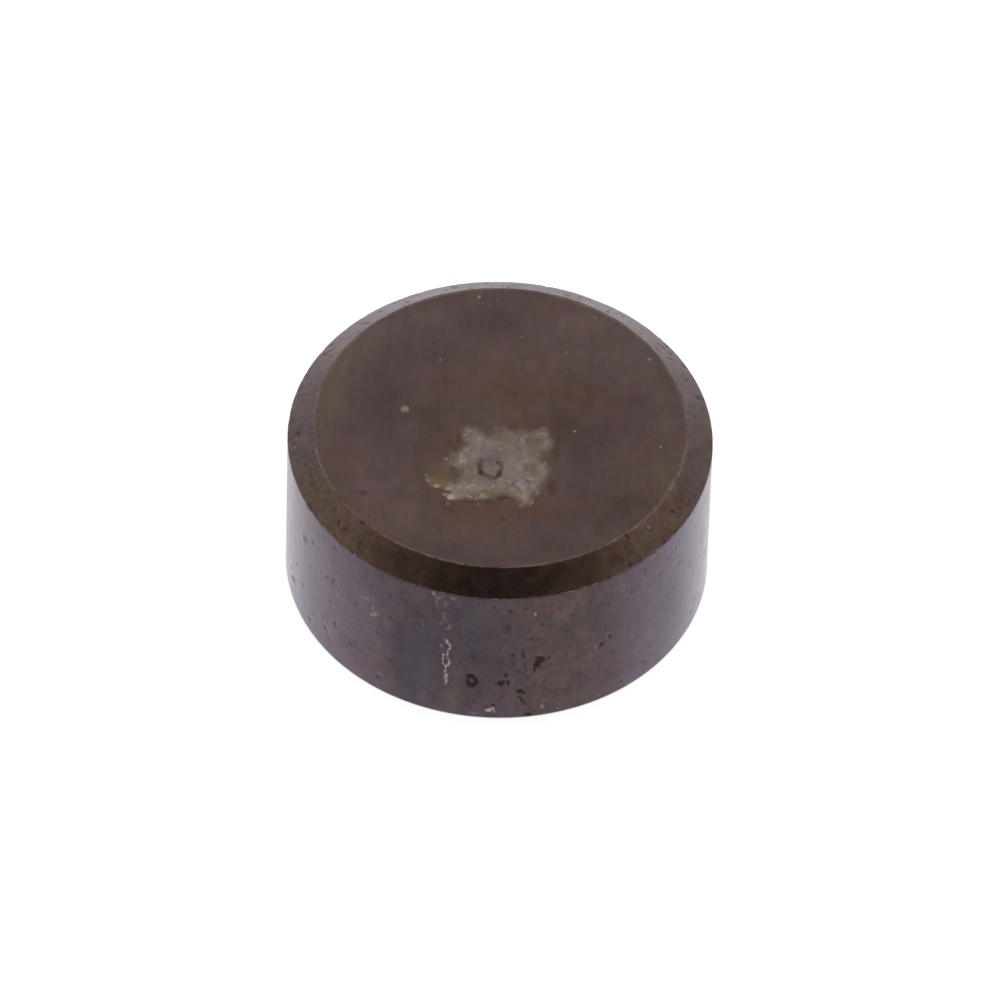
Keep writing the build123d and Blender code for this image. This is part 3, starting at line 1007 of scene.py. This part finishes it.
# How far the finest marks stand up in the bump, or lie deep where below 0, in millimetres
BARE_BUMP = 0.001
SCRATCH_BUMP = -0.004
GRIME_AND_SHADE_BUMP = -0.005
LINE_BUMP = 0.0012
GRAIN_BUMP = 0.0004


def on_wall(way_round, height):
    """The point of the wall at a way round from its front and a height, all in millimetres."""
    angle = way_round * MM / shim_radius
    return (shim_radius / MM * sin(angle), -shim_radius / MM * cos(angle), height)


def shifted(tree, place, *by):
    return compute_vector(tree, "ADD", place, by)


def bare_patch(tree, place, colour):
    """Paler steel where the brown has gone: sandy, with greenish, pinkish, cooler and olive parts by the
    masks. A few light specks lie on the face beside it."""
    blots = spread(tree, noise(tree, place, 0.26, 3.0, 0.6), 0.36, 0.64)
    worn = mix_colour(tree, blots, tone(106, 91, 83), tone(121, 107, 99))
    for mask_name, part_tone, amount in BARE_STAINS:
        worn = mix_colour(tree, times(tree, mask(tree, mask_name), amount), worn, tone(*part_tone))
    worn = use_group(
        tree, tone_group, Colour=worn, Place=shifted(tree, place, 3, 3, 3), Spacing=0.22, Light=0.56,
        Grain=0.46, Hue=0.22,
    )["Colour"]
    bare = mask(tree, "bare")
    colour = mix_colour(tree, bare, colour, worn)
    ragged = times_plus(tree, noise(tree, place, 0.045), 0.9, -0.45)
    specks = []
    for x, y, reach, strength in FACE_SPECKS:
        gap = compute_vector(tree, "DISTANCE", place, (x, y, shim_thickness / MM), output=1)
        away = times_plus(tree, gap, 1.0 / reach, ragged)
        specks.append(spread(tree, away, 0.45, 1.20, strength, 0.0))
    colour = mix_colour(tree, strongest(tree, specks), colour, SPECK_TONE)
    return colour, times(tree, bare, BARE_BUMP)


def braided_scratch(tree, place, colour):
    """The bright scratch down the wall: the least distance to each strand's runs, over a width that
    wanders."""
    wobble = scaled(tree, noise_vector(tree, place, 0.10), 0.050)
    wandering = compute_vector(tree, "ADD", place, wobble)
    narrowing = spread(tree, noise(tree, place, 0.070, 2.0), 0.34, 0.62, 1.4, 0.75)
    broken = spread(tree, noise(tree, shifted(tree, place, 4, 4, 4), 0.060, 1.0), 0.30, 0.60, 0.60, 1.05)
    strands = []
    for half_width, strength, *strand in SCRATCH_STRANDS:
        near = None
        strand = hundredths(*strand)
        for start, end in zip(strand[:-1], strand[1:]):
            run = use_group(tree, line_group, Place=wandering, Start=on_wall(*start), End=on_wall(*end))
            near = run["Distance"] if near is None else compute(tree, "MINIMUM", near, run["Distance"])
        share = times(tree, times(tree, near, 100 / half_width), narrowing)
        strands.append(spread(tree, share, 0.25, 1.25, strength / 100, 0.0))
    scratch = times(tree, strongest(tree, strands), broken, clamp=True)
    return mix_colour(tree, scratch, colour, SCRATCH_TONE), times(tree, scratch, SCRATCH_BUMP)


def plain_steel(tree, place, colour):
    return colour, times(tree, noise(tree, place, 0.05), GRAIN_BUMP)


def stained_steel(name, base, stains, grain, uneven, dots, roughness, dark_tone, waves, extra):
    """Steel browned by heat, for one zone. It has two base tones, stains as (mask, tone, amount), the zone's
    own marks, grinding lines as (direction, strength), uneven tone as (stretch, spacing, light, fine light,
    hue), dots as (spacing, size, share, strength), and last the grime with painted shade, and the scraped
    metal with painted highlights."""
    material = bpy.data.materials.new(name)
    material.use_nodes = True
    tree = material.node_tree
    shader = tree.nodes["Principled BSDF"]
    shader.inputs["Metallic"].default_value = 1.0
    coordinates = add_node(tree, "ShaderNodeTexCoord").outputs["Object"]
    place = scaled(tree, coordinates, 1.0 / MM)

    wander = noise(tree, place, 1.1, 3.0, 0.55)
    colour = mix_colour(tree, spread(tree, wander, 0.32, 0.68), *(tone(*shade) for shade in base))
    broken = times_plus(tree, noise(tree, place, 0.30, 3.0, 0.6), 1.2, 0.4)
    for mask_name, stain_tone, amount in stains:
        factor = times(tree, times(tree, mask(tree, mask_name), amount), broken, clamp=True)
        colour = mix_colour(tree, factor, colour, tone(*stain_tone))
    colour, extra_height = extra(tree, place, colour)

    direction, strength = grain
    lines = noise(tree, compute_vector(tree, "MULTIPLY", place, direction), 1.0, 3.0, 0.6)
    line_share = spread(tree, lines, 0.35, 0.75, 0.0, strength)
    colour = mix_colour(tree, line_share, colour, scaled(tree, colour, LINE_SHADE))
    stretch, spacing, light, fine_light, hue = uneven
    stretched = compute_vector(tree, "MULTIPLY", place, stretch)
    stronger = compute(tree, "ADD", mask(tree, "uneven"), 1.0)
    light, fine_light = times(tree, stronger, light), times(tree, stronger, fine_light)
    toned = use_group(
        tree, tone_group, Colour=colour, Place=stretched, Spacing=spacing, Light=light, Grain=fine_light,
        Hue=hue,
    )
    colour = toned["Colour"]

    spacing, size, share, dot_strength = dots
    pits = use_group(tree, dots_group, Place=stretched, Spacing=spacing, Size=size, Share=share)["Mask"]
    shiny = use_group(
        tree, dots_group, Place=shifted(tree, place, 5, 5, 5), Spacing=1.6 * spacing, Size=0.4 * size,
        Share=0.4 * share,
    )["Mask"]
    # The grime mask carries painted shade as well: round the imprint, beside the crest and at the chamfer's
    # back
    grime_and_shade = compute(tree, "MAXIMUM", times(tree, pits, dot_strength), mask(tree, "grime_and_shade"))
    colour = mix_colour(tree, times(tree, grime_and_shade, GRIME_AND_SHADE_COVER), colour, tone(*dark_tone))
    # The bright mask mixes in scraped metal and painted highlights: on the crest and along the rims
    scraped_and_highlight = compute(tree, "MAXIMUM", mask(tree, "bright"), times(tree, shiny, SHINY_COVER))
    colour = mix_colour(tree, scraped_and_highlight, colour, SCRAPED_AND_HIGHLIGHT_TONE)

    dull = times_plus(tree, toned["Cloud"], 0.16, roughness - 0.08)
    dull = times_plus(tree, grime_and_shade, 0.15, dull, clamp=True)
    height = times(tree, mask(tree, "grime_and_shade"), GRIME_AND_SHADE_BUMP)
    height = times_plus(tree, lines, LINE_BUMP, height)
    height = times_plus(tree, noise(tree, stretched, 0.16, 3.0, 0.6), waves, height)
    height = compute(tree, "ADD", height, extra_height)

    bump = add_node(tree, "ShaderNodeBump", {"Strength": 1.0, "Distance": MM, "Height": height})
    feed(tree, shader.inputs["Normal"], bump.outputs["Normal"])
    feed(tree, shader.inputs["Base Color"], colour)
    feed(tree, shader.inputs["Roughness"], dull)
    return material


def zone_materials():
    """The finishes of the four zones, in the order of their numbers on the mesh."""
    upper = stained_steel(
        "browned_face",
        base=((82, 67, 65), (90, 73, 70)),
        stains=(
            ("pale", (103, 87, 85), 0.70), ("slate", (74, 62, 65), 0.80), ("olive", (94, 80, 62), 0.75),
            ("brown", (70, 54, 49), 0.75), ("rust", (91, 66, 49), 0.75),
        ),
        grain=((9.0, 1.2, 1.0), 0.16),
        uneven=((1.0, 0.7, 1.0), 0.32, 0.36, 0.20, 0.23),
        dots=(0.40, 0.14, 0.30, 0.50),
        roughness=0.28, dark_tone=(56, 42, 36), waves=0.005, extra=bare_patch,
    )
    slope = stained_steel(
        "browned_chamfer",
        base=((88, 74, 68), (98, 83, 77)),
        stains=(
            ("pale", (91, 78, 79), 0.90), ("brown", (86, 68, 58), 0.85), ("slate", (82, 72, 72), 0.70),
            ("olive", (92, 79, 59), 0.65), ("rust", (78, 58, 49), 0.65),
        ),
        grain=((0.15, 0.15, 12.0), 0.12),
        uneven=((1.0, 1.0, 1.0), 0.28, 0.66, 0.52, 0.08),
        dots=(0.34, 0.22, 0.40, 0.45),
        roughness=0.25, dark_tone=(52, 36, 30), waves=0.0032, extra=plain_steel,
    )
    wall = stained_steel(
        "stained_wall",
        base=((69, 60, 63), (76, 67, 71)),
        stains=(
            ("pale", (90, 78, 88), 0.90), ("slate", (62, 58, 64), 0.85), ("brown", (78, 67, 63), 0.85),
            ("cool", (86, 79, 92), 0.80), ("olive", (90, 84, 73), 0.65), ("rust", (92, 67, 64), 0.70),
        ),
        grain=((2.5, 2.5, 0.5), 0.10),
        uneven=((1.0, 1.0, 0.62), 0.26, 0.60, 0.52, 0.11),
        dots=(0.24, 0.24, 0.45, 0.40),
        roughness=0.24, dark_tone=(36, 23, 22), waves=0.005, extra=braided_scratch,
    )
    lower = stained_steel(
        "ground_lower_face",
        base=((76, 65, 64), (88, 75, 74)),
        stains=(),
        grain=((1.0, 14.0, 1.0), 0.30),
        uneven=((1.0, 1.0, 1.0), 0.30, 0.50, 0.30, 0.12),
        dots=(0.34, 0.16, 0.40, 0.40),
        roughness=0.26, dark_tone=(52, 40, 36), waves=0.005, extra=plain_steel,
    )
    return upper, slope, wall, lower


shim = build_shim()
for finish in zone_materials():
    shim.data.materials.append(finish)
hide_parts("valve_shim")
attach(shim, "root")


# Camera, as the photograph was taken: from the front, well above, with a long lens

CAMERA_ELEVATION = radians(48.544)
CAMERA_ROLL = radians(1.804)
CAMERA_PLACE = (0.0306 * MM, -146.8348 * MM, 167.7746 * MM)
CAMERA_LENS = 451.8
CAMERA_SENSOR = 36.0
CAMERA_NEAR, CAMERA_FAR = 0.01, 10.0


def add_camera():
    data = bpy.data.cameras.new("camera")
    data.lens = CAMERA_LENS
    data.sensor_width = CAMERA_SENSOR
    data.clip_start = CAMERA_NEAR
    data.clip_end = CAMERA_FAR
    camera = put_object("camera", data)
    camera.matrix_world = (
        Matrix.Translation(CAMERA_PLACE)
        @ Matrix.Rotation(pi / 2 - CAMERA_ELEVATION, 4, "X")
        @ Matrix.Rotation(CAMERA_ROLL, 4, "Z")
    )
    bpy.context.scene.camera = camera


# Floor and studio

FLOOR_HALF = 0.6
FLOOR_DROP = 0.004 * MM
FLOOR_COLOUR = (0.45, 0.45, 0.45, 1.0)
FLOOR_GLOW = 0.83
# Where the glow starts and is full, out from the axis: inside it lies the painted contact shadow
GLOW_START, GLOW_FULL = shim_radius - 0.02 * MM, shim_radius + 0.014 * MM
MIRRORED_COLOUR = (1.0, 0.965, 1.03, 1.0)
MIRRORED_GLOW = 1.18


def add_floor():
    """A plain pale table. Its own colour takes the soft shadow, a glow that only the camera sees lifts it to
    white, and the steel mirrors it as an even pale field. The glow fades out by the distance from the disc's
    axis under its lower rim: a painted contact shadow."""
    corners = np.array([(-1, -1), (1, -1), (1, 1), (-1, 1)]) * FLOOR_HALF
    mesh = bpy.data.meshes.new("floor")
    mesh.from_pydata([(x, y, -FLOOR_DROP) for x, y in corners], [], [(0, 1, 2, 3)])
    floor = put_object("floor", mesh)
    material = bpy.data.materials.new("white_table")
    material.use_nodes = True
    tree = material.node_tree
    shader = tree.nodes["Principled BSDF"]
    shader.inputs["Base Color"].default_value = FLOOR_COLOUR
    shader.inputs["Roughness"].default_value = 0.8
    shader.inputs["Specular IOR Level"].default_value = 0.0
    shader.inputs["Emission Color"].default_value = (1.0, 1.0, 1.0, 1.0)
    path = add_node(tree, "ShaderNodeLightPath")
    coordinates = add_node(tree, "ShaderNodeTexCoord").outputs["Object"]
    from_axis = compute_vector(tree, "LENGTH", scaled(tree, coordinates, 1.0 / shim_radius), output=1)
    # A painted contact shadow: the glow fades out by the distance from the disc's axis, under its lower rim
    glow = spread(tree, from_axis, GLOW_START / shim_radius, GLOW_FULL / shim_radius, 0.0, FLOOR_GLOW)
    feed(tree, shader.inputs["Emission Strength"], times(tree, path.outputs["Is Camera Ray"], glow))
    mirrored = add_node(tree, "ShaderNodeEmission", {"Color": MIRRORED_COLOUR, "Strength": MIRRORED_GLOW})
    seen = compute(tree, "MAXIMUM", path.outputs["Is Glossy Ray"], path.outputs["Is Transmission Ray"])
    choice = add_node(tree, "ShaderNodeMixShader", {0: seen, 1: shader.outputs[0], 2: mirrored.outputs[0]})
    feed(tree, tree.nodes["Material Output"].inputs["Surface"], choice.outputs[0])
    mesh.materials.append(material)


# The world is a white tent with a dark opening high at the front, round the lens.
OPENING_ELEVATION = radians(60.0)
OPENING_RIM = radians(54.0)
OPENING_LEVEL = 0.115


def add_world():
    """The tent's brightness rises from the opening's centre as the square of the angle, up to its rim."""
    world = bpy.data.worlds.new("studio")
    bpy.context.scene.world = world
    world.use_nodes = True
    tree = world.node_tree
    background = tree.nodes["Background"]
    direction = add_node(tree, "ShaderNodeTexCoord").outputs["Generated"]
    opening = (0.0, -cos(OPENING_ELEVATION), sin(OPENING_ELEVATION))
    away = compute(tree, "ARCCOSINE", compute_vector(tree, "DOT_PRODUCT", direction, opening, output=1))
    share = compute(tree, "DIVIDE", away, OPENING_RIM, clamp=True)
    level = times_plus(tree, times(tree, share, share), 1.0 - OPENING_LEVEL, OPENING_LEVEL)
    path = add_node(tree, "ShaderNodeLightPath")
    inputs = {0: path.outputs["Is Camera Ray"], 2: level, 3: 1.0}
    shown = add_node(tree, "ShaderNodeMix", inputs, data_type="FLOAT")
    feed(tree, background.inputs["Strength"], shown.outputs[0])
    background.inputs["Color"].default_value = (1.0, 1.0, 1.0, 1.0)


add_camera()
add_floor()
add_world()
bpy.context.scene.view_settings.view_transform = "Standard"
